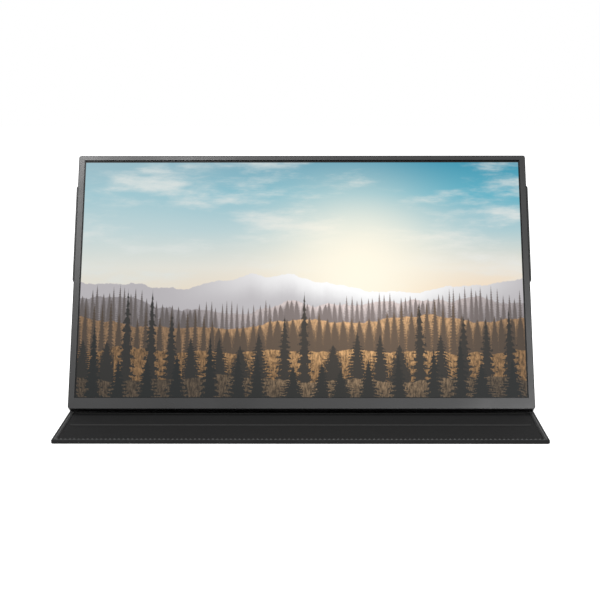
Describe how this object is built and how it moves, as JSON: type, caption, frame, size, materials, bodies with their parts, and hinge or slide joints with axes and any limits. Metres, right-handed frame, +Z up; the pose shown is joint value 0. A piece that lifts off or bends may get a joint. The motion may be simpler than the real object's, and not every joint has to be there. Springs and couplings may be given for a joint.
{
  "type": "portable monitor with folding cover",
  "caption": "Slim portable monitor standing on its magnetic folding cover, with a jog wheel and a power button on its side.",
  "frame": {"origin": "middle of the footprint, on the table under the cover's base", "axes": "+X along the screen to the viewer's right, +Y away from the viewer, +Z up; the screen faces -Y and leans back"},
  "size_m": [0.3604, 0.2133, 0.1934],
  "materials": {
    "housing": "fine-textured dark grey plastic with a slight metallic sheen",
    "jog_plastic": "black plastic, notched rim",
    "gasket_foam": "black foam tape",
    "display_glass": null,
    "film": "white film",
    "light_guide": "clear sheet",
    "led_strip": "strip of small diodes",
    "tray_steel": "thin galvanised sheet",
    "circuit_board": "green solder mask",
    "screw_steel": "blackened steel",
    "connector_steel": "plated steel",
    "flat_cable": "amber film",
    "speaker_case": "black plastic",
    "magnet": "nickel plated",
    "cover_leather": "fine-grained black synthetic leather, stitched near its edges",
    "cover_lining": "short-napped dark grey microfibre",
    "stiffener": "grey board",
    "stop_rubber": "black rubber"
  },
  "bodies": {
    "base": {"base_skin": "cover_leather", "base_board": "stiffener", "base_lining": "cover_lining", "base_ribs": "stop_rubber", "base_crease": "cover_leather"},
    "spine": {"spine_skin": "cover_leather", "spine_board": "stiffener", "spine_lining": "cover_lining"},
    "leg": {"leg_skin": "cover_leather", "leg_board": "stiffener", "leg_lining": "cover_lining", "leg_crease": "cover_leather", "back_crease": "cover_leather"},
    "back_panel": {"back_panel_skin": "cover_leather", "back_panel_board": "stiffener", "back_panel_lining": "cover_lining", "back_panel_magnets": "magnet"},
    "power_button": {"power_button": "housing"},
    "jog_carrier": {"jog_carrier": "jog_plastic"},
    "jog_wheel": {"jog_wheel": "jog_plastic"},
    "monitor": {"front_bezel": "housing", "bezel_gasket": "gasket_foam", "lcd_cell": "display_glass", "optical_films": "film", "light_guide": "light_guide", "reflector_sheet": "film", "led_bar": "led_strip", "panel_tray": "tray_steel", "source_board": "circuit_board", "rear_housing": "housing", "housing_screws": "screw_steel", "main_board": "circuit_board", "board_screws": "screw_steel", "shield_can": "tray_steel", "usb_c_port_upper": "connector_steel", "usb_c_port_lower": "connector_steel", "mini_hdmi_port": "connector_steel", "display_cable": "flat_cable", "speaker_left": "speaker_case", "speaker_right": "speaker_case", "speaker_leads": "flat_cable", "button_board": "circuit_board", "tact_switches": "speaker_case", "button_ribbon": "flat_cable", "steel_plates": "tray_steel"}
  },
  "joints": [
    {"name": "base_fold", "type": "hinge", "parent": "base", "child": "spine", "pos_m": [0, 0.10515, 0.0015], "axis": [-1, 0, 0], "range_deg": [0, 129]},
    {"name": "spine_fold", "type": "hinge", "parent": "spine", "child": "leg", "pos_m": [0, 0.09604, 0.01278], "axis": [1, 0, 0], "range_deg": [0, 90.06]},
    {"name": "back_fold", "type": "hinge", "parent": "leg", "child": "back_panel", "pos_m": [0, 0.02972, 0.09483], "axis": [1, 0, 0], "range_deg": [0, 65.8]},
    {"name": "screen_release", "type": "slide", "parent": "back_panel", "child": "monitor", "axis": [0, -0.8922, 0.4517], "range_m": [0, 0.08]},
    {"name": "power_press", "type": "slide", "parent": "monitor", "child": "power_button", "axis": [-1, 0, 0], "range_m": [0, 0.0004], "stiffness_N_per_m": 800},
    {"name": "jog_press", "type": "slide", "parent": "monitor", "child": "jog_carrier", "axis": [-1, 0, 0], "range_m": [0, 0.0004], "stiffness_N_per_m": 800},
    {"name": "jog_turn", "type": "hinge", "parent": "jog_carrier", "child": "jog_wheel", "pos_m": [0.1744, -0.0046, 0.03834], "axis": [0, 0.8922, -0.4517], "range_deg": [-12, 12], "stiffness_Nm_per_rad": 0.004}
  ],
  "couplings": [
    {"joint": "base_fold", "follows": "back_fold", "ratio": 1.9598},
    {"joint": "spine_fold", "follows": "back_fold", "ratio": 1.3679}
  ]
}
